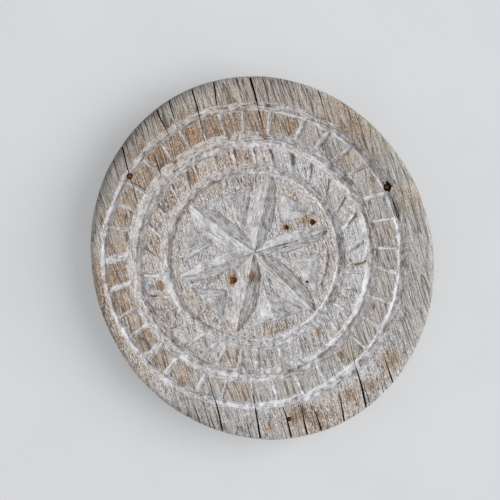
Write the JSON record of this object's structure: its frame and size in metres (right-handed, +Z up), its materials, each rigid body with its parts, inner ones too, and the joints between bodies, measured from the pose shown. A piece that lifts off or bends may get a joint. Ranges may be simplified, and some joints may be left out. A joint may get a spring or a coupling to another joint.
{
  "type": "carved chapati board",
  "caption": "Oval hardwood rolling board with a chip-carved rosette inside rings of blocks, standing on short turned feet that forged nails hold in place.",
  "frame": {"origin": "under the middle of the board, on the surface that its feet stand on", "axes": "+Z up out of the carved face, +Y along the grain of the wood, which is the board's long direction, +X across the grain"},
  "size_m": [0.2586, 0.28, 0.04],
  "materials": {
    "carved_wood": "dry weathered grey-brown hardwood with pale lime left in the carving",
    "foot_wood": "dry turned hardwood, worn smooth",
    "rusty_iron": "rusted hand-forged iron"
  },
  "bodies": {
    "root": {"board": "carved_wood", "left_foot": "foot_wood", "right_foot": "foot_wood", "front_foot": "foot_wood", "left_nail": "rusty_iron", "right_nail": "rusty_iron", "front_nail": "rusty_iron"}
  },
  "joints": []
}
